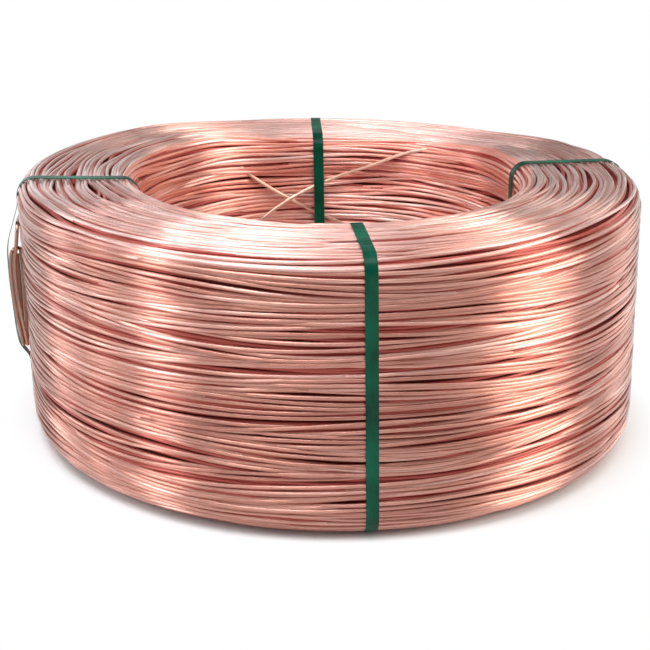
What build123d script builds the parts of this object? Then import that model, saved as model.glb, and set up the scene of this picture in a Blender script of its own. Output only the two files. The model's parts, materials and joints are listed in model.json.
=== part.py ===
from build123d import *
from math import cos, pi, radians, sin, sqrt
import os

# Lengths are in mm. The coil stands on its end, its axis is Z and the floor is at zero.

# The wire, and the coil that is wound from it
wire_diameter = 4.0
wire_sides = 6
bore_diameter = 406.0
winding_depth = 127.0
coil_height = 274.0
outer_corner_radius = 18.0
foot_corner_radius = 28.0
inner_corner_radius = 16.0
outer_corner_sides = 3
inner_corner_sides = 2
turns_per_end_ridge = 6
turns_per_wall_ridge = 9
ridge_rise = 2.0
bore_lip = 18.0
bore_setback = 10.0

# The four straps, with the directions in which they cross the coil
strap_width = 12.0
strap_thickness = 0.6
front_azimuth = -84.0
right_azimuth = 10.0
back_azimuth = 93.7
left_azimuth = 189.5
joint_length = 45.0
joint_height_share = 0.45

# The end of the wire, folded up below the left strap
lead_below_corner = 40.7
lead_bend = 10.0
lead_angle = 3.5
fold_length_share = 0.39
fold_gap = 0.6
fold_spacing = 9.2
fold_bend_share = 0.46
bow_depth = 4.0
bow_below_top = 30.0
bow_radius = 60.0
end_below_top = 14.0
strap_run_out = 16.0
strap_run_radius = 10.0
strap_leave_share = 0.25

# The two loose turns that cross on the wall of the bore
falling_azimuth = 101.0
falling_span_angle = 19.5
falling_rise = 40.0
falling_below_lip = 0.5
rising_azimuth = 97.5
rising_span_angle = 17.5
rising_rise = 31.5
rising_below_lip = 0.5
crossing_gap = 0.8

# How close a piece lies to the one that it rests on
seat_gap = 0.1
wire_gap = 0.2

wire_radius = wire_diameter / 2
bore_radius = bore_diameter / 2
outer_radius = bore_radius + winding_depth
setback_radius = bore_radius + bore_setback
coil_bottom = strap_thickness + seat_gap
coil_top = coil_bottom + coil_height
groove_bottom = coil_bottom + ridge_rise
groove_top = coil_top - ridge_rise
groove_out = outer_radius - ridge_rise


def section_plane(azimuth):
    """The plane through the coil's axis in one direction: x is the radius, y the height."""
    angle = radians(azimuth)
    return Plane(
        origin=(0, 0, 0),
        x_dir=(cos(angle), sin(angle), 0),
        z_dir=(sin(angle), -cos(angle), 0),
    )


def corner(centre, corner_radius, sides, out, up):
    """The points of a rounded edge round its centre, from the wall to the end of the coil."""
    radius, height = centre
    points = []
    for side in range(sides + 1):
        angle = pi / 2 * side / sides
        reach = corner_radius * cos(angle)
        rise = corner_radius * sin(angle)
        points.append((radius + out * reach, height + up * rise))
    return points


def ridges(start, end, turns, groove, crest):
    """The places along a face, and the levels there, of ridges that are some turns wide."""
    count = max(1, round(abs(end - start) / (turns * wire_diameter)))
    step = (end - start) / count
    points = []
    for index in range(count):
        points.append((start + (index + 1 / 2) * step, crest))
        points.append((start + (index + 1) * step, groove))
    return points[:-1]


# The coil: one turned body with its bore, which is set back between two lips
flat_out = groove_out - outer_corner_radius
foot_out = groove_out - foot_corner_radius
flat_in = bore_radius + inner_corner_radius
wall_bottom = groove_bottom + foot_corner_radius
wall_top = groove_top - outer_corner_radius
bore_bottom = groove_bottom + inner_corner_radius
bore_top = groove_top - inner_corner_radius
lip_bottom = bore_bottom + bore_lip
lip_top = bore_top - bore_lip
foot_bottom = lip_bottom + bore_setback
foot_top = lip_top - bore_setback
wall_ridges = ridges(wall_bottom, wall_top, turns_per_wall_ridge, groove_out, outer_radius)
section = [
    *corner((flat_out, wall_top), outer_corner_radius, outer_corner_sides, 1, 1),
    *ridges(flat_out, flat_in, turns_per_end_ridge, groove_top, coil_top),
    *reversed(corner((flat_in, bore_top), inner_corner_radius, inner_corner_sides, -1, 1)),
    (bore_radius, lip_top),
    (setback_radius, foot_top),
    (setback_radius, foot_bottom),
    (bore_radius, lip_bottom),
    *corner((flat_in, bore_bottom), inner_corner_radius, inner_corner_sides, -1, -1),
    *ridges(flat_in, foot_out, turns_per_end_ridge, groove_bottom, coil_bottom),
    *reversed(corner((foot_out, wall_bottom), foot_corner_radius, outer_corner_sides, 1, -1)),
    *[(reach, height) for height, reach in wall_ridges],
]
wire_coil = revolve(section_plane(0) * make_face(Polyline(*section, close=True)), Axis.Z)

# The straps: closed bands that lie flat on the coil, with their welded joints
strap_in = sqrt(bore_radius**2 - (strap_width / 2) ** 2) - seat_gap
strap_out = outer_radius + seat_gap
strap_bottom = coil_bottom - seat_gap
strap_top = coil_top + seat_gap
outer_strap_corner = outer_corner_radius + ridge_rise + seat_gap
foot_strap_corner = foot_corner_radius + ridge_rise + seat_gap
inner_strap_corner = inner_corner_radius + ridge_rise + seat_gap
joint_height = strap_bottom + (strap_top - strap_bottom) * joint_height_share
bore_joint = strap_in + strap_thickness / 2
outer_joint = strap_out + strap_thickness * 3 / 2


def strap(azimuth, joint_radius, outer_run=(), run_rounds=()):
    """A band round the coil's section, with any extra points of its run down the outer wall."""
    points = [(strap_in, strap_bottom), (strap_in, strap_top), (strap_out, strap_top)]
    points = [*points, *outer_run, (strap_out, strap_bottom)]
    rounds = [inner_strap_corner, inner_strap_corner, outer_strap_corner]
    rounds = [*rounds, *run_rounds, foot_strap_corner]
    inside = make_face(FilletPolyline(*points, radius=rounds, close=True))
    band = offset(inside, amount=strap_thickness) - inside
    band = band + Pos(joint_radius, joint_height) * Rectangle(strap_thickness, joint_length)
    return section_plane(azimuth) * extrude(band, strap_width / 2, both=True)


def bent_wire(azimuth, path):
    """A stretch of the wire along a path in one section plane of the coil."""
    start = Plane(origin=path @ 0, z_dir=path % 0)
    outline = start * RegularPolygon(wire_radius, wire_sides)
    return section_plane(azimuth) * sweep(outline, path=path)


# The end of the wire: it leaves the top of the wall and lies in two layers of two runs
lead_height = wall_top - lead_below_corner
lead_foot = lead_height - lead_bend
fold_top = lead_foot - wire_diameter
fold_bottom = fold_top - coil_height * fold_length_share
bow_height = fold_top - bow_below_top
inner_layer = outer_radius + wire_gap + wire_radius
outer_layer = inner_layer + wire_diameter + fold_gap
fold_side = fold_spacing / 2
fold_bend = fold_spacing * fold_bend_share


def run_down(layer, side):
    """The points of one run, which bows away from the wall."""
    return [
        (layer, fold_top, side),
        (layer + bow_depth, bow_height, side),
        (layer, fold_bottom, side),
    ]


end_share = end_below_top / bow_below_top
wire_end = (outer_layer + bow_depth * end_share, fold_top - end_below_top, fold_side)
fold_points = [
    (inner_layer, lead_foot, -fold_side),
    *run_down(inner_layer, -fold_side),
    *reversed(run_down(inner_layer, fold_side)),
    *run_down(outer_layer, -fold_side),
    *reversed(run_down(outer_layer, fold_side)[1:]),
    wire_end,
]
run_and_fold = [bow_radius, fold_bend, fold_bend]
fold_rounds = [lead_bend, *run_and_fold, *run_and_fold, *run_and_fold, bow_radius]
folds = FilletPolyline(*fold_points, radius=fold_rounds)

bend_side = lead_bend - fold_side
bend_reach = lead_bend * sqrt(1 / 2)
lead_turn = ThreePointArc(
    (inner_layer, lead_height, bend_side),
    (inner_layer, lead_foot + bend_reach, bend_side - bend_reach),
    (inner_layer, lead_foot, -fold_side),
)


def lead_point(angle):
    """A point of the last turn, before it bends down."""
    reach = radians(angle)
    return (inner_layer * cos(reach), lead_height, bend_side + inner_layer * sin(reach))


lead = ThreePointArc(lead_point(lead_angle), lead_point(lead_angle / 2), lead_point(0))
tail_path = Wire([*lead.edges(), *lead_turn.edges(), *folds.edges()])
wire_tail = bent_wire(left_azimuth, tail_path)

# The left strap runs out over the folded end and back to the wall
over_tail = outer_layer + wire_radius + wire_gap
over_top = lead_height + wire_diameter
over_bottom = fold_bottom - wire_diameter
leave_top = wall_top - (wall_top - over_top) * strap_leave_share
tail_run = [
    (strap_out, leave_top),
    (over_tail, over_top),
    (over_tail + bow_depth, bow_height),
    (over_tail, over_bottom),
    (strap_out, over_bottom - strap_run_out),
]
run_ends = [strap_run_radius, strap_run_radius]
tail_run_rounds = [*run_ends, bow_radius, *run_ends]


# The loose turns: arcs of wire whose ends lie on the set-back wall of the bore
def loose_turn(azimuth, span_angle, rise, below_lip, stand_off):
    """An arc between two points of the wall, and how far its middle stands off the wall."""
    wall = setback_radius - wire_gap - wire_radius
    height = foot_top - below_lip - wire_radius - abs(rise)
    reach = wall * cos(radians(span_angle))
    side = wall * sin(radians(span_angle))
    path = ThreePointArc(
        (reach, height + rise, -side),
        (wall - stand_off, height, 0),
        (reach, height - rise, side),
    )
    return bent_wire(azimuth, Wire(path.edges()))


rising_stand_off = wire_diameter + crossing_gap
pieces = {
    "wire_coil": wire_coil,
    "strap_front": strap(front_azimuth, bore_joint),
    "strap_right": strap(right_azimuth, outer_joint),
    "strap_back": strap(back_azimuth, outer_joint),
    "strap_left": strap(left_azimuth, bore_joint, tail_run, tail_run_rounds),
    "wire_tail": wire_tail,
    "loose_turn_falling": loose_turn(
        falling_azimuth, falling_span_angle, falling_rise, falling_below_lip, 0
    ),
    "loose_turn_rising": loose_turn(
        rising_azimuth, rising_span_angle, -rising_rise, rising_below_lip, rising_stand_off
    ),
}

os.makedirs("parts", exist_ok=True)
for node, piece in pieces.items():
    export_step(piece, f"parts/{node}.step")
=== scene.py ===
import json
import math

import bpy
import numpy as np
from mathutils import Matrix, Vector

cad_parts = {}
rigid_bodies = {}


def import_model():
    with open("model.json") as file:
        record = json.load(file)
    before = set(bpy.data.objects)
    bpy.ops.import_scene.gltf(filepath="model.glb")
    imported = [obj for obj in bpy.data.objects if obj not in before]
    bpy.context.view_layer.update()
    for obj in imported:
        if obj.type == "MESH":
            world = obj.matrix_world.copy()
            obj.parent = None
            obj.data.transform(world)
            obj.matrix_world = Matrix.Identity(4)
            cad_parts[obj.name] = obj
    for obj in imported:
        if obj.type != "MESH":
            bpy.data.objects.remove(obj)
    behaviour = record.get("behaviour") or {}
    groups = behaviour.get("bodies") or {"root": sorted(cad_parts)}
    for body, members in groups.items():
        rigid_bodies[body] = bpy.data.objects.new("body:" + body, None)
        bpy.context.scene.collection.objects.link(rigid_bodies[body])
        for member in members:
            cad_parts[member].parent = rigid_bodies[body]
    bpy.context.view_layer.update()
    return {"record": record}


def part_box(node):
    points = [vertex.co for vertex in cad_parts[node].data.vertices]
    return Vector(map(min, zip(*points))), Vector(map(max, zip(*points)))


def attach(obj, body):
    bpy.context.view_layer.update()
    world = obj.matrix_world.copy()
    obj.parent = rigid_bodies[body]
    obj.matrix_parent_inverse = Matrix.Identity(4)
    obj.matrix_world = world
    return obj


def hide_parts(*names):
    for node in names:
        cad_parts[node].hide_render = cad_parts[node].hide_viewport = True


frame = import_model()
random = np.random.default_rng(11)

# Lengths are in metres. The wire, and the coil that is wound from it
wire = 0.004
coil_low, coil_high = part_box("wire_coil")
outer_radius = coil_high.x
bore_radius = frame["record"]["mounts"][0]["dims"]["r_mm"] / 1000
coil_bottom = coil_low.z
coil_top = coil_high.z
outer_edge = 0.020
foot_edge = 0.030
inner_edge = 0.018
bore_setback = 0.010
lean = 0.022
back_drop = 0.007

# The straps: azimuths in degrees, and how far each is skewed on the outer wall and in the bore
strap_width = 0.012
strap_thickness = 0.0006
strap_crown = 0.0001
seat_gap = 0.0001
joint_height = 0.124
joint_length = 0.045
strap_azimuths = {"front": -84.0, "right": 10.0, "back": 93.7, "left": 189.5}
strap_skews = {"front": (0.4, 0.8), "right": (0, 0), "back": (-0.65, 0), "left": (-1.5, 2.7)}


# ---- Materials ----


def node(tree, kind, **values):
    """A new node; values set its properties, or its inputs by name."""
    made = tree.nodes.new(kind)
    for name, value in values.items():
        if name in made.bl_rna.properties:
            setattr(made, name, value)
        else:
            made.inputs[name.replace("_", " ")].default_value = value
    return made


def new_material(name):
    """A material with its node tree and its shader."""
    material = bpy.data.materials.new(name)
    material.use_nodes = True
    tree = material.node_tree
    return material, tree, tree.nodes["Principled BSDF"]


def stretched_noise(tree, source, scale, detail):
    """Noise on a coordinate that is scaled by a different amount in each direction."""
    mapping = node(tree, "ShaderNodeMapping", Scale=scale)
    tree.links.new(source, mapping.inputs["Vector"])
    noise = node(tree, "ShaderNodeTexNoise", Scale=1.0, Detail=detail, Roughness=0.55)
    tree.links.new(mapping.outputs["Vector"], noise.inputs["Vector"])
    return noise.outputs["Fac"]


def ramp(tree, source, stops):
    """A colour ramp on a value, from (position, colour) stops."""
    made = node(tree, "ShaderNodeValToRGB")
    elements = made.color_ramp.elements
    while len(elements) < len(stops):
        elements.new(0.5)
    for element, (position, colour) in zip(elements, stops):
        element.position = position
        element.color = (*colour, 1.0)
    tree.links.new(source, made.inputs["Fac"])
    return made.outputs["Color"]


def to_range(tree, source, start, end, low, high):
    """A value from start to end spread from low to high."""
    made = node(tree, "ShaderNodeMapRange")
    for name, value in zip(("From Min", "From Max", "To Min", "To Max"), (start, end, low, high)):
        made.inputs[name].default_value = value
    tree.links.new(source, made.inputs["Value"])
    return made.outputs["Result"]


def bump(tree, height, distance, strength, below=None):
    """A bump of a height, over another one if that is given."""
    made = node(tree, "ShaderNodeBump", Strength=strength, Distance=distance)
    tree.links.new(height, made.inputs["Height"])
    if below is not None:
        tree.links.new(below, made.inputs["Normal"])
    return made.outputs["Normal"]


def copper_material(name, colours, roughness, film, metallic):
    """Drawn copper under a thin clear film, with tones, stains, draw lines and waves along it."""
    material, tree, shader = new_material(name)
    along = node(tree, "ShaderNodeUVMap", uv_map="along").outputs["UV"]
    tone = stretched_noise(tree, along, (3.1, 0.3, 1.0), 4.0)
    stains = stretched_noise(tree, along, (34.0, 1.5, 1.0), 3.0)
    worn = node(tree, "ShaderNodeMixRGB", blend_type="MULTIPLY")
    tree.links.new(to_range(tree, stains, 0.5, 0.8, 0.0, 0.6), worn.inputs["Fac"])
    tree.links.new(ramp(tree, tone, colours), worn.inputs["Color1"])
    worn.inputs["Color2"].default_value = (0.80, 0.62, 0.52, 1.0)
    tree.links.new(worn.outputs["Color"], shader.inputs["Base Color"])
    shader.inputs["Metallic"].default_value = metallic
    shader.inputs["Anisotropic"].default_value = 1.0
    shader.inputs["Anisotropic Rotation"].default_value = 0.25
    tangent = node(tree, "ShaderNodeTangent", direction_type="UV_MAP", uv_map="along")
    tree.links.new(tangent.outputs["Tangent"], shader.inputs["Tangent"])
    tree.links.new(to_range(tree, tone, 0.3, 0.7, *roughness), shader.inputs["Roughness"])
    waves = stretched_noise(tree, along, (20.0, 0.4, 1.0), 1.0)
    lines = stretched_noise(tree, along, (6.0, 24.0, 1.0), 2.0)
    normal = bump(tree, lines, 0.0002, 0.25, bump(tree, waves, 0.0017, 1.0))
    tree.links.new(normal, shader.inputs["Normal"])
    tree.links.new(normal, shader.inputs["Coat Normal"])
    shader.inputs["Coat Weight"].default_value = film
    shader.inputs["Coat IOR"].default_value = 1.75
    shader.inputs["Coat Roughness"].default_value = 0.28
    return material


def inside_material():
    """The turns deep in the coil, in dark reds that are painted shade."""
    material, tree, shader = new_material("copper_deep_painted_shade")
    place = node(tree, "ShaderNodeTexCoord").outputs["Object"]
    tone = stretched_noise(tree, place, (6.0, 6.0, 260.0), 3.0)
    # Dark reds painted for the shade deep between the turns
    colours = [(0.35, (0.16, 0.018, 0.012)), (0.65, (0.32, 0.045, 0.03))]
    tree.links.new(ramp(tree, tone, colours), shader.inputs["Base Color"])
    shader.inputs["Metallic"].default_value = 0.3
    shader.inputs["Roughness"].default_value = 0.7
    return material


def strap_material():
    """Green plastic strap with a fine embossed grain and scuffs along it."""
    material, tree, shader = new_material("strap_green")
    along = node(tree, "ShaderNodeUVMap", uv_map="along").outputs["UV"]
    cloud = stretched_noise(tree, along, (16.0, 24.0, 1.0), 3.0)
    colours = [(0.36, (0.000, 0.030, 0.016)), (0.64, (0.000, 0.094, 0.050))]
    tree.links.new(ramp(tree, cloud, colours), shader.inputs["Base Color"])
    scuffs = stretched_noise(tree, along, (60.0, 2400.0, 1.0), 3.0)
    tree.links.new(to_range(tree, scuffs, 0.3, 0.7, 0.24, 0.42), shader.inputs["Roughness"])
    shader.inputs["Specular IOR Level"].default_value = 0.16
    emboss = node(tree, "ShaderNodeTexVoronoi", Scale=700.0, Randomness=0.15)
    tree.links.new(along, emboss.inputs["Vector"])
    waves = stretched_noise(tree, along, (55.0, 20.0, 1.0), 2.0)
    normal = bump(tree, emboss.outputs["Distance"], 0.0001, 0.35, bump(tree, waves, 0.002, 0.6))
    tree.links.new(normal, shader.inputs["Normal"])
    return material


# The tones of the wire: each stop is a place in the noise along it, and a colour. The wall, the top
# and the bore take copies of the same copper whose tones hold painted light and shade
# The outer wall's tones: mostly darker and redder than copper's own, painted shade
painted_shade_wall_copper = [
    (0.34, (0.50, 0.155, 0.10)),
    (0.45, (0.61, 0.23, 0.16)),
    (0.56, (0.74, 0.325, 0.245)),
    (0.68, (0.92, 0.57, 0.49)),
]
# The layer below shows only in the gaps between turns: its dark reds are painted shade
painted_shade_red_copper = [(0.30, (0.36, 0.052, 0.038)), (0.70, (0.52, 0.105, 0.078))]
# The bore's tones: brighter and redder than the wall's, painted light and the painted red of copper
# reflecting copper
bore_painted_light_copper = [
    (0.34, (0.86, 0.26, 0.175)),
    (0.46, (0.94, 0.38, 0.285)),
    (0.58, (0.97, 0.55, 0.46)),
    (0.70, (0.97, 0.76, 0.69)),
]
# The top's tones: paler than the wall's, a painted sheen
painted_sheen_top_copper = [
    (0.34, (0.78, 0.34, 0.275)),
    (0.46, (0.87, 0.45, 0.38)),
    (0.58, (0.94, 0.60, 0.53)),
    (0.70, (0.96, 0.74, 0.68)),
]
# The folded end's tones: darker and browner than the turns', painted shade
painted_shade_brown_copper = [
    (0.30, (0.30, 0.14, 0.09)),
    (0.50, (0.46, 0.24, 0.16)),
    (0.70, (0.72, 0.48, 0.36)),
]
pale_copper = [(0.30, (0.82, 0.46, 0.33)), (0.70, (0.92, 0.60, 0.46))]
copper = copper_material("copper_wire", painted_shade_wall_copper, (0.45, 0.37), 1.0, 0.9)
copper_bore = copper_material("copper_bore_painted_light", bore_painted_light_copper, (0.45, 0.37), 0.7, 0.65)
copper_top = copper_material("copper_pale", painted_sheen_top_copper, (0.45, 0.37), 1.0, 0.85)
copper_dull_painted_shade = copper_material("copper_dull_painted_shade", painted_shade_brown_copper, (0.45, 0.30), 0.6, 1.0)
copper_below = copper_material("copper_shaded", painted_shade_red_copper, (0.45, 0.30), 0.2, 0.5)
copper_loose = copper_material("copper_loose", pale_copper, (0.45, 0.37), 0.6, 1.0)
copper_deep_painted_shade = inside_material()
strap_green = strap_material()


# ---- The section of the coil ----


def smooth(values):
    """Eases values between 0 and 1."""
    values = np.clip(values, 0, 1)
    return values**2 * (3 - 2 * values)


def arc(centre, radius, start, end):
    """Points of an arc in the section, angles in degrees."""
    angles = np.radians(np.linspace(start, end, 24))
    return centre + radius * np.column_stack([np.cos(angles), np.sin(angles)])


def section_outline(depth, setback=bore_setback):
    """The closed line at a depth below the coil's surface: lengths, points and normals.

    A point is a radius and a height.
    """
    in_edge = inner_edge - depth
    out_centre = outer_radius - outer_edge
    foot_centre = outer_radius - foot_edge
    in_centre = bore_radius + inner_edge
    heights = np.linspace(coil_top - inner_edge, coil_bottom + inner_edge, 90)[1:-1]
    share = smooth((heights[0] - heights) / 0.04) * smooth((heights - heights[-1]) / 0.04)
    points = np.vstack([
        arc((foot_centre, coil_bottom + foot_edge), foot_edge - depth, -90, 0),
        arc((out_centre, coil_top - outer_edge), outer_edge - depth, 0, 90),
        arc((in_centre, coil_top - inner_edge), in_edge, 90, 180),
        np.column_stack([bore_radius + depth + setback * share, heights]),
        arc((in_centre, coil_bottom + inner_edge), in_edge, 180, 270),
        [(foot_centre, coil_bottom + depth)],
    ])
    steps = np.linalg.norm(np.diff(points, axis=0), axis=1)
    length = np.concatenate([[0], np.cumsum(steps)])
    fine = np.linspace(0, length[-1], 1500)
    line = np.column_stack([np.interp(fine, length, column) for column in points.T])
    slope = np.gradient(line, fine, axis=0)
    normal = np.column_stack([slope[:, 1], -slope[:, 0]])
    normal /= np.linalg.norm(normal, axis=1)[:, None]
    return fine, line, normal


def nearest(outline, radius, height):
    """The length along an outline at the point nearest to a place in the section."""
    length, line, normal = outline
    return length[np.argmin(np.hypot(line[:, 0] - radius, line[:, 1] - height))]


def angle_apart(azimuths, azimuth):
    """How far azimuths are from one, in degrees."""
    return np.abs((azimuths - azimuth + 180) % 360 - 180)


def settle(points):
    """The coil leans a little to one side and has sunk at the back, but not into the floor."""
    settled = points.copy()
    azimuths = np.degrees(np.arctan2(points[:, 1], points[:, 0]))
    back = smooth((56 - angle_apart(azimuths, 80)) / 30)
    settled[:, 0] += lean * (coil_top / 2 - points[:, 2])
    settled[:, 2] -= back_drop * back * (points[:, 2] / coil_top) ** 3
    settled[:, 2] = np.maximum(settled[:, 2], 0)
    return settled


def place_on(outline, along, lift, angle):
    """Points at a length along the section, a height over its line and an angle round the coil."""
    length, line, normal = outline
    at = [np.interp(along, length, column) for column in (*line.T, *normal.T)]
    radius = at[0] + lift * at[2]
    height = at[1] + lift * at[3]
    return np.column_stack([radius * np.cos(angle), radius * np.sin(angle), height])


# ---- Meshes ----


def unit(vectors):
    """Vectors of length one."""
    return vectors / np.linalg.norm(vectors, axis=1)[:, None]


def mesh_object(name, vertices, quads, coordinates):
    """A smooth mesh of four-sided faces with texture coordinates."""
    mesh = bpy.data.meshes.new(name)
    mesh.vertices.add(len(vertices))
    mesh.vertices.foreach_set("co", vertices.astype(np.float32).ravel())
    mesh.loops.add(quads.size)
    mesh.loops.foreach_set("vertex_index", quads.astype(np.int32).ravel())
    mesh.polygons.add(len(quads))
    mesh.polygons.foreach_set("loop_start", np.arange(0, quads.size, 4, dtype=np.int32))
    layer = mesh.uv_layers.new(name="along")
    layer.uv.foreach_set("vector", coordinates.astype(np.float32).ravel())
    mesh.update(calc_edges=True)
    mesh.polygons.foreach_set("use_smooth", np.ones(len(quads), dtype=bool))
    made = bpy.data.objects.new(name, mesh)
    bpy.context.scene.collection.objects.link(made)
    return made


def swept_faces(rows, columns, closed):
    """The faces between the rows of a swept section, with their row and column numbers."""
    last = columns if closed else columns - 1
    grids = np.meshgrid(np.arange(rows - 1), np.arange(last), indexing="ij")
    row, column = [grid.ravel() for grid in grids]
    corners = [(row, column), (row, column + 1), (row + 1, column + 1), (row + 1, column)]
    quads = np.stack([r * columns + c % columns for r, c in corners], axis=-1)
    return quads, corners


def distances(path):
    """The length along a path at each of its points."""
    return np.concatenate([[0], np.cumsum(np.linalg.norm(np.diff(path, axis=0), axis=1))])


def level_frame(path):
    """A direction across each point of a path that runs nearly level."""
    return unit(np.cross(np.gradient(path, axis=0), (0, 0, 1)))


def carried_frame(path):
    """A direction across each point of any path, carried along it without twist."""
    tangent = unit(np.gradient(path, axis=0))
    across = [np.cross(tangent[0], (0.3, 0.5, 0.8))]
    for direction in tangent:
        across.append(across[-1] - direction * across[-1].dot(direction))
    return unit(np.array(across[1:]))


def tube(name, path, across, sides, start):
    """A round wire along a path, closed at its ends, with coordinates along and round it."""
    upward = np.cross(unit(np.gradient(path, axis=0)), across)
    turn = 2 * np.pi * np.arange(sides) / sides
    ring = np.cos(turn)[:, None] * across[:, None] + np.sin(turn)[:, None] * upward[:, None]
    vertices = (path[:, None] + wire / 2 * ring).reshape(-1, 3)
    quads, corners = swept_faces(len(path), sides, True)
    length = start + distances(path)
    coordinates = np.stack([value for r, c in corners for value in (length[r], c / sides)], axis=-1)
    fan = np.array([(0, corner, corner + 1, corner + 2) for corner in range(1, sides - 1, 2)])
    disc = np.column_stack([wire / 2 * np.cos(turn), np.sin(turn) / 2])
    ends = [(fan[:, ::-1], vertices[:sides], length[0]), (fan, vertices[-sides:], length[-1])]
    for cap, rim, end in ends:
        quads = np.vstack([quads, len(vertices) + cap])
        vertices = np.vstack([vertices, rim])
        coordinates = np.vstack([coordinates, ((end, 0) + disc)[cap].reshape(-1, 8)])
    return mesh_object(name, vertices, quads, coordinates)


def finish_piece(piece, material, slot, *nodes):
    """Gives a piece its material and its place in the frame."""
    piece.data.materials.append(material)
    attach(piece, "root")
    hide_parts(*nodes)


# ---- The turns on the surface and the layer below ----


def wander(turns, steps, turn_reach, degree_reach):
    """Smooth random values along the wound wire, alike over some turns and some degrees."""
    count = turns * steps
    reach = degree_reach / 360 * steps
    spectrum = np.fft.rfft(random.standard_normal(count))
    spectrum *= np.exp(-2 * (np.pi * np.fft.rfftfreq(count) * reach) ** 2)
    values = np.fft.irfft(spectrum, count).reshape(turns, steps)
    across = np.exp(-2 * (np.pi * np.fft.fftfreq(turns) * turn_reach) ** 2)
    values = np.fft.ifft(np.fft.fft(values, axis=0) * across[:, None], axis=0).real
    return values / values.std()


def stacked(along, rank):
    """How far each wire is pushed below the neighbours that lie over it."""
    pushed = np.zeros(along.shape)
    for offset in (-3, -2, -1, 1, 2, 3):
        apart = np.roll(along, offset, axis=0) - along
        overlap = np.sqrt(np.clip(wire**2 - apart**2, 0, None))
        over = smooth(0.5 + (np.roll(rank, offset, axis=0) - rank) / 0.6)
        pushed = np.maximum(pushed, overlap * over)
    return pushed


# How far a wire gives way to those over it, as a share
push_share = 0.50

# Gaps that stand open between turns: place in the section, azimuth, reach in degrees, width
open_gaps = [
    ((0.3220, coil_top - 0.0035), 210, 15, 0.0044),
    ((0.2945, coil_top), 197, 13, 0.0050),
    ((0.2550, coil_top), 204, 12, 0.0054),
    ((0.2980, coil_top), 175, 11, 0.0046),
    ((0.2510, coil_top), 167, 12, 0.0050),
    ((0.2700, coil_top), 186, 10, 0.0040),
    ((0.2520, coil_top), 4, 11, 0.0046),
    ((0.2760, coil_top), -3, 13, 0.0044),
    ((0.3040, coil_top), 1, 11, 0.0040),
]


def wound_layer(depth, pitch, steps, group_shift, own_shift, gap_share):
    """The points of one layer of turns that lie at random over and beside each other."""
    outline = section_outline(depth)
    total = outline[0][-1]
    turns = round(total / pitch)
    running = (np.arange(turns * steps) / steps).reshape(turns, steps)
    azimuths = np.arange(steps) * 360 / steps
    along = running * total / turns
    along += group_shift * wander(turns, steps, 3.0, 18)
    along += own_shift * wander(turns, steps, 0, 15)
    for place, azimuth, reach, width in open_gaps:
        near = smooth(1.4 - 1.4 * angle_apart(azimuths, azimuth) / reach)
        opening = near * gap_share * width / 2
        away = along - nearest(outline, *place)
        along += opening * np.tanh(away / (0.3 * wire)) * np.exp(-np.abs(away) / (5 * wire))
    lift = -push_share * stacked(along, wander(turns, steps, 0, 19))
    lift += 0.06 * wire * wander(turns, steps, 0, 9)
    clear = np.ones(steps)
    for azimuth in strap_azimuths.values():
        clear *= smooth((angle_apart(azimuths, azimuth) - 4) / 5)
    lift = np.where(lift > 0, lift * clear, lift)
    path = place_on(outline, (along % total).ravel(), lift.ravel(), 2 * np.pi * running.ravel())
    return settle(path), turns, steps


def build_layer(layer, zones, sides):
    """Cuts a layer into named pieces that each end after a share of its turns."""
    path, turns, steps = layer
    length = distances(path)
    across = level_frame(path)
    first = 0
    for name, end, material in zones:
        last = round(turns * end) * steps
        part = slice(first, last + 1)
        piece = tube(name, path[part], across[part], sides, length[first])
        finish_piece(piece, material, "copper", "wire_coil")
        first = last


turn_sides = 6
surface = wound_layer(wire / 2, wire * 0.72, 176, wire * 1.1, wire * 0.6, 1.15)
# The wall, the top and the bore get their own copies of the copper, with painted shade, sheen and
# light in their tones
surface_zones = [
    ("turns_wall_low", 0.19, copper),
    ("turns_wall_high", 0.375, copper),
    ("turns_top", 0.52, copper_top),
    ("turns_bore_high", 0.69, copper_bore),
    ("turns_bore_low", 0.87, copper_bore),
    ("turns_bottom", 1.0, copper),
]
build_layer(surface, surface_zones, turn_sides)
below = wound_layer(wire * 1.05, wire * 0.80, 96, wire * 1.0, wire * 0.5, 2.0)
below_zones = [("turns_below_out", 0.5, copper_below), ("turns_below_in", 1.0, copper_below)]
build_layer(below, below_zones, turn_sides)

# The inside turns, in painted shade, turned round the axis
core_rows = 96
core_line = section_outline(wire * 2.0)[1][::12]
core_angle = np.repeat(-2 * np.pi * np.arange(core_rows + 1) / core_rows, len(core_line))
core_radius, core_height = np.tile(core_line.T, core_rows + 1)
core_x, core_y = core_radius * np.cos(core_angle), core_radius * np.sin(core_angle)
core_points = np.column_stack([core_x, core_y, core_height])
core_quads, core_corners = swept_faces(core_rows + 1, len(core_line), True)
core_uv = np.stack([value for r, c in core_corners for value in (r, c)], axis=-1)
core = mesh_object("coil_inside", settle(core_points), core_quads, core_uv)
finish_piece(core, copper_deep_painted_shade, "copper", "wire_coil")


# ---- Loose wires ----


def spline_points(points):
    """Points along a smooth line that follows control points."""
    data = bpy.data.curves.new("line", "CURVE")
    data.dimensions = "3D"
    data.resolution_u = 8
    spline = data.splines.new("NURBS")
    spline.points.add(len(points) - 1)
    for point, place in zip(spline.points, points):
        point.co = (*place, 1.0)
    spline.order_u = 3
    spline.use_endpoint_u = True
    line = bpy.data.objects.new("line", data)
    mesh = bpy.data.meshes.new_from_object(line)
    followed = np.array([vertex.co for vertex in mesh.vertices])
    bpy.data.objects.remove(line)
    bpy.data.curves.remove(data)
    bpy.data.meshes.remove(mesh)
    return followed


loose_sides = 12


def loose_wire(name, points, material, node_name):
    """A wire that lies free of the others, along control points."""
    path = settle(spline_points(points))
    piece = tube(name, path, carried_frame(path), loose_sides, 3.0 * len(bpy.data.objects))
    finish_piece(piece, material, "copper", node_name)


def round_axis(azimuth, radius, height):
    """A point from its azimuth in degrees, radius and height."""
    angle = math.radians(azimuth)
    return (radius * math.cos(angle), radius * math.sin(angle), height)


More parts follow.
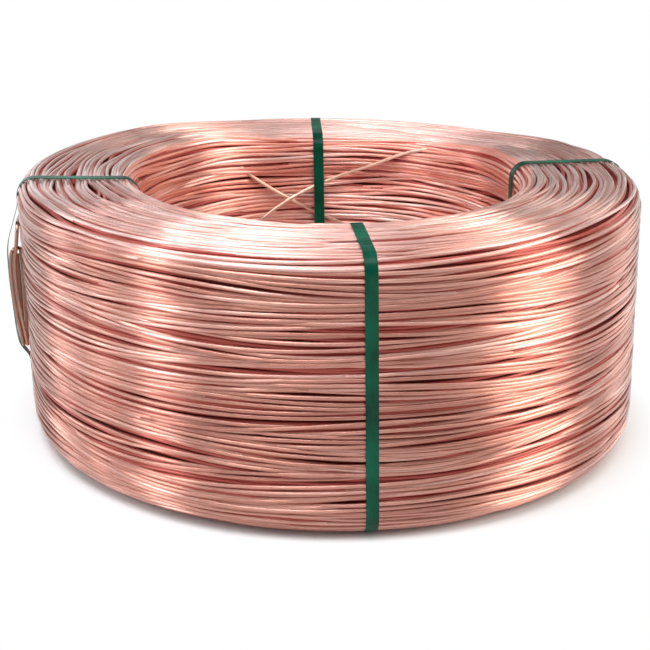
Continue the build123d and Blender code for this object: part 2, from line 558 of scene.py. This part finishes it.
# The two loose turns: azimuth, radius and height of their control points
falling_route = [
    (119, 0.2150, 0.230), (116.5, 0.2105, 0.2240), (110, 0.2098, 0.207), (103, 0.2098, 0.1905),
    (95, 0.2098, 0.1740), (86.7, 0.2098, 0.1598), (81, 0.2105, 0.150), (77, 0.2140, 0.143),
]
rising_route = [
    (121, 0.2140, 0.146), (117, 0.2105, 0.1580), (114, 0.2085, 0.1675), (108, 0.2065, 0.183),
    (103, 0.2058, 0.1945), (97, 0.2058, 0.2055), (90, 0.2062, 0.2170), (83, 0.2062, 0.2270),
    (76.5, 0.2048, 0.2365), (71, 0.2025, 0.2460), (66, 0.2012, 0.2545), (61, 0.2032, 0.2610),
    (56, 0.2085, 0.2655),
]
falling_points = [round_axis(*point) for point in falling_route]
rising_points = [round_axis(*point) for point in rising_route]
loose_wire("loose_wire_falling", falling_points, copper_loose, "loose_turn_falling")
loose_wire("loose_wire_rising", rising_points, copper_loose, "loose_turn_rising")


def tail_place(radius, height, side):
    """A point of the folded end, from its place in the left strap's plane and its side of it."""
    x, y, z = round_axis(strap_azimuths["left"], radius, height)
    angle = math.radians(strap_azimuths["left"])
    return (x + side * math.sin(angle), y - side * math.cos(angle), z)


# The folded end: its heights, the radii of its two layers and the half distance of its runs
fold_top = 0.200
fold_bottom = 0.093
lead_height = 0.226
inner_layer = outer_radius + 0.0022
outer_layer = inner_layer + 0.0041
fold_side = 0.0046


def tail_run(layer, side):
    """The control points of one run of the folded end, from its top to its bottom."""
    heights_and_bows = [
        (fold_top, 0.5), (fold_top - 0.007, 0.8), (fold_top - 0.03, 1.0), (0.135, 0.75),
        (fold_bottom + 0.008, 0.1), (fold_bottom, 0.0),
    ]
    bow = 0.0065 if side < 0 else -0.0014
    return [(layer + bow * share, height, side) for height, share in heights_and_bows]


tail_route = [
    (outer_radius - 0.007, lead_height + 0.004, 0.062),
    (outer_radius - 0.001, lead_height + 0.002, 0.036),
    (inner_layer, lead_height, 0.020),
    (inner_layer, lead_height, -fold_side),
    *tail_run(inner_layer, -fold_side),
    *reversed(tail_run(inner_layer, fold_side)),
    *tail_run(outer_layer, -fold_side),
    *reversed(tail_run(outer_layer, fold_side)[1:]),
]
loose_wire("folded_end", [tail_place(*point) for point in tail_route], copper_dull_painted_shade, "wire_tail")


# ---- Straps ----


def ribbon(name, outline, along, side, lift):
    """A flat band on the coil, with crisp edges and a slight crown."""
    along = along % outline[0][-1]
    radius = np.interp(along, outline[0], outline[1][:, 0])
    skew = np.interp(radius, (bore_radius, outer_radius), strap_skews[side][::-1])
    angle = np.radians(strap_azimuths[side] + skew)
    path = place_on(outline, along, lift, angle)
    tangent = unit(np.gradient(path, axis=0))
    level = np.column_stack([-np.sin(angle), np.cos(angle), np.zeros(len(angle))])
    outward = unit(np.cross(level, tangent))
    sideways = np.cross(tangent, outward)
    half, thick = strap_width / 2, strap_thickness / 2
    edge = thick - strap_crown
    strips = [
        [(-half, edge), (-half / 2, thick), (half / 2, thick), (half, edge)],
        [(half, edge), (half, -thick)],
        [(half, -thick), (-half, -thick)],
        [(-half, -thick), (-half, edge)],
    ]
    vertices, quads, coordinates = [], [], []
    length = distances(path)
    for strip in strips:
        offsets = np.array(strip)
        rows = path[:, None] + offsets[:, :1] * sideways[:, None]
        rows = rows + offsets[:, 1:] * outward[:, None]
        faces, corners = swept_faces(len(path), len(strip), False)
        places = [value for r, c in corners for value in (length[r], offsets[c, 0])]
        quads.append(faces + sum(len(rows_before) for rows_before in vertices))
        vertices.append(rows.reshape(-1, 3))
        coordinates.append(np.stack(places, axis=-1))
    rim = np.array([*strips[0], *strips[2]])
    halves = np.array([(0, 1, 2, 3), (0, 3, 4, 5)])
    for row, cap in ((0, halves[:, ::-1]), (-1, halves)):
        quads.append(cap + sum(len(rows_before) for rows_before in vertices))
        vertices.append(path[row] + rim[:, :1] * sideways[row] + rim[:, 1:] * outward[row])
        coordinates.append(((length[row], 0) + rim[:, ::-1])[cap].reshape(-1, 8))
    placed = settle(np.vstack(vertices))
    return mesh_object(name, placed, np.vstack(quads), np.vstack(coordinates))


# The left strap stands off the wall over the folded end: heights and how far
stand_off = np.array([
    (0.000, 0.0), (0.079, 0.0), (0.090, 0.0100), (0.110, 0.0126), (0.165, 0.0152),
    (0.195, 0.0150), (0.208, 0.0130), (0.246, 0.0), (0.300, 0.0),
])
strap_line = section_outline(-seat_gap - strap_thickness / 2, setback=0.0)
joint_line = section_outline(-seat_gap - strap_thickness * 3 / 2, setback=0.0)
inner_joint_line = section_outline(strap_thickness / 2, setback=0.0)
for side in strap_azimuths:
    along = np.linspace(0, strap_line[0][-1], 500)
    radius, height = [np.interp(along, strap_line[0], column) for column in strap_line[1].T]
    lift = np.zeros(along.shape)
    if side == "left":
        lift = np.where(radius > outer_radius - 0.002, np.interp(height, *stand_off.T), 0)
        lift = np.convolve(lift, np.ones(9) / 9, mode="same")
    band = ribbon("strap_band_" + side, strap_line, along, side, lift)
    finish_piece(band, strap_green, "strap", "strap_" + side)
    on_wall = side in ("right", "back")
    line = joint_line if on_wall else inner_joint_line
    middle = nearest(line, outer_radius if on_wall else bore_radius, joint_height)
    along = np.linspace(middle - joint_length / 2, middle + joint_length / 2, 12)
    joint = ribbon("strap_joint_" + side, line, along, side, np.zeros(along.shape))
    finish_piece(joint, strap_green, "strap", "strap_" + side)


# ---- Floor, light and camera ----


# The floor: its half size, the radii over which it turns white, and the low backdrop round it
floor_reach = 12
white_from = (0.315, 0.365)
backdrop_radius = 11.8
backdrop_height = 1.6
backdrop_sides = 96


def floor_material():
    """Pale floor that takes the coil's shadow, and is white further off."""
    material, tree, shader = new_material("floor_pale")
    shader.inputs["Base Color"].default_value = (0.86, 0.86, 0.86, 1.0)
    shader.inputs["Roughness"].default_value = 0.9
    place = node(tree, "ShaderNodeTexCoord").outputs["Object"]
    away = node(tree, "ShaderNodeVectorMath", operation="LENGTH")
    tree.links.new(place, away.inputs[0])
    path = node(tree, "ShaderNodeLightPath")
    mirrored = node(tree, "ShaderNodeMath", operation="ADD")
    tree.links.new(path.outputs["Is Glossy Ray"], mirrored.inputs[0])
    tree.links.new(path.outputs["Is Transmission Ray"], mirrored.inputs[1])
    seen = node(tree, "ShaderNodeMath", operation="ADD", use_clamp=True)
    tree.links.new(path.outputs["Is Camera Ray"], seen.inputs[0])
    tree.links.new(mirrored.outputs["Value"], seen.inputs[1])
    share = node(tree, "ShaderNodeMath", operation="MULTIPLY")
    lit = to_range(tree, away.outputs["Value"], *white_from, 0.0, 1.0)
    tree.links.new(lit, share.inputs[0])
    tree.links.new(seen.outputs["Value"], share.inputs[1])
    glow = node(tree, "ShaderNodeEmission", Strength=1.0)
    glow.inputs["Color"].default_value = (1.0, 1.0, 1.0, 1.0)
    mix = node(tree, "ShaderNodeMixShader")
    tree.links.new(share.outputs["Value"], mix.inputs["Fac"])
    tree.links.new(shader.outputs["BSDF"], mix.inputs[1])
    tree.links.new(glow.outputs["Emission"], mix.inputs[2])
    tree.links.new(mix.outputs["Shader"], tree.nodes["Material Output"].inputs["Surface"])
    return material


def stage_piece(name, corners, faces, material):
    """A piece of the surroundings, which isn't part of the coil."""
    mesh = bpy.data.meshes.new(name)
    mesh.from_pydata(corners, [], faces)
    mesh.materials.append(material)
    made = bpy.data.objects.new(name, mesh)
    bpy.context.scene.collection.objects.link(made)


floor_pale = floor_material()
floor_signs = [(-1, -1), (1, -1), (1, 1), (-1, 1)]
floor_corners = [(x * floor_reach, y * floor_reach, 0) for x, y in floor_signs]
stage_piece("floor", floor_corners, [(0, 1, 2, 3)], floor_pale)
backdrop_corners, backdrop_faces = [], []
for side in range(backdrop_sides):
    azimuth = 360 * side / backdrop_sides
    backdrop_corners += [round_axis(azimuth, backdrop_radius, z) for z in (0, backdrop_height)]
    low, next_low = 2 * side, 2 * (side + 1) % (2 * backdrop_sides)
    backdrop_faces.append((low, low + 1, next_low + 1, next_low))
stage_piece("backdrop", backdrop_corners, backdrop_faces, floor_pale)

world = bpy.data.worlds.new("studio")
world.use_nodes = True
world.node_tree.nodes["Background"].inputs["Color"].default_value = (0.14, 0.14, 0.14, 1.0)
bpy.context.scene.world = world


def softbox(name, azimuth, distance, height, size, radiance, colour):
    """A soft rectangular lamp that faces the coil, its azimuth in degrees right of the front."""
    lamp = bpy.data.lights.new(name, "AREA")
    lamp.shape = "RECTANGLE"
    lamp.size, lamp.size_y = size
    lamp.energy = radiance * math.pi * size[0] * size[1]
    lamp.color = colour
    made = bpy.data.objects.new(name, lamp)
    angle = math.radians(azimuth)
    made.location = (distance * math.sin(angle), -distance * math.cos(angle), height)
    made.rotation_euler = (Vector((0, 0, 0.15)) - made.location).to_track_quat("-Z", "Y").to_euler()
    made.visible_camera = False
    bpy.context.scene.collection.objects.link(made)


# Low strips and panels make the upright bands of light, ceilings the sheen on the top
cool = (0.92, 0.965, 1.0)
warm = (1.0, 0.97, 0.90)
softbox("strip_left_back", -107, 2.2, 0.95, (0.30, 1.7), 5.6, cool)
softbox("strip_left", -84, 2.2, 0.95, (0.16, 1.7), 7.5, cool)
softbox("strip_left_front", -60, 2.2, 0.95, (0.36, 1.7), 8.4, cool)
softbox("strip_front_left", -34, 2.2, 0.95, (0.14, 1.7), 1.0, cool)
softbox("panel_right", 75, 2.2, 0.95, (1.00, 1.7), 7.2, warm)
softbox("strip_right_back", 124, 2.2, 0.95, (0.8, 1.7), 1.4, warm)
softbox("panel_back_left", -157, 3.0, 0.9, (1.5, 1.6), 0.75, cool)
softbox("panel_back_right", 157, 3.0, 0.9, (1.5, 1.6), 0.2, warm)
softbox("ceiling", 0, 0.05, 2.8, (3.4, 3.4), 0.35, cool)
softbox("ceiling_left", -62, 0.95, 2.3, (2.2, 1.0), 4.6, cool)
softbox("ceiling_right", 80, 1.2, 2.3, (1.0, 0.8), 3.6, warm)
softbox("ceiling_front", -10, 0.55, 1.4, (1.1, 0.5), 4.7, cool)

# The camera, fitted to the coil's rims in the photograph
camera_data = bpy.data.cameras.new("camera")
camera_data.sensor_width = 36.0
camera_data.lens = 80.78
camera = bpy.data.objects.new("camera", camera_data)
pitch = Matrix.Rotation(math.radians(90 - 19.36), 4, "X")
roll = Matrix.Rotation(math.radians(0.438), 4, "Z")
camera.matrix_world = Matrix.Translation((-0.006, -1.5323, 0.6359)) @ pitch @ roll
bpy.context.scene.collection.objects.link(camera)
bpy.context.scene.camera = camera
bpy.context.scene.view_settings.view_transform = "Standard"
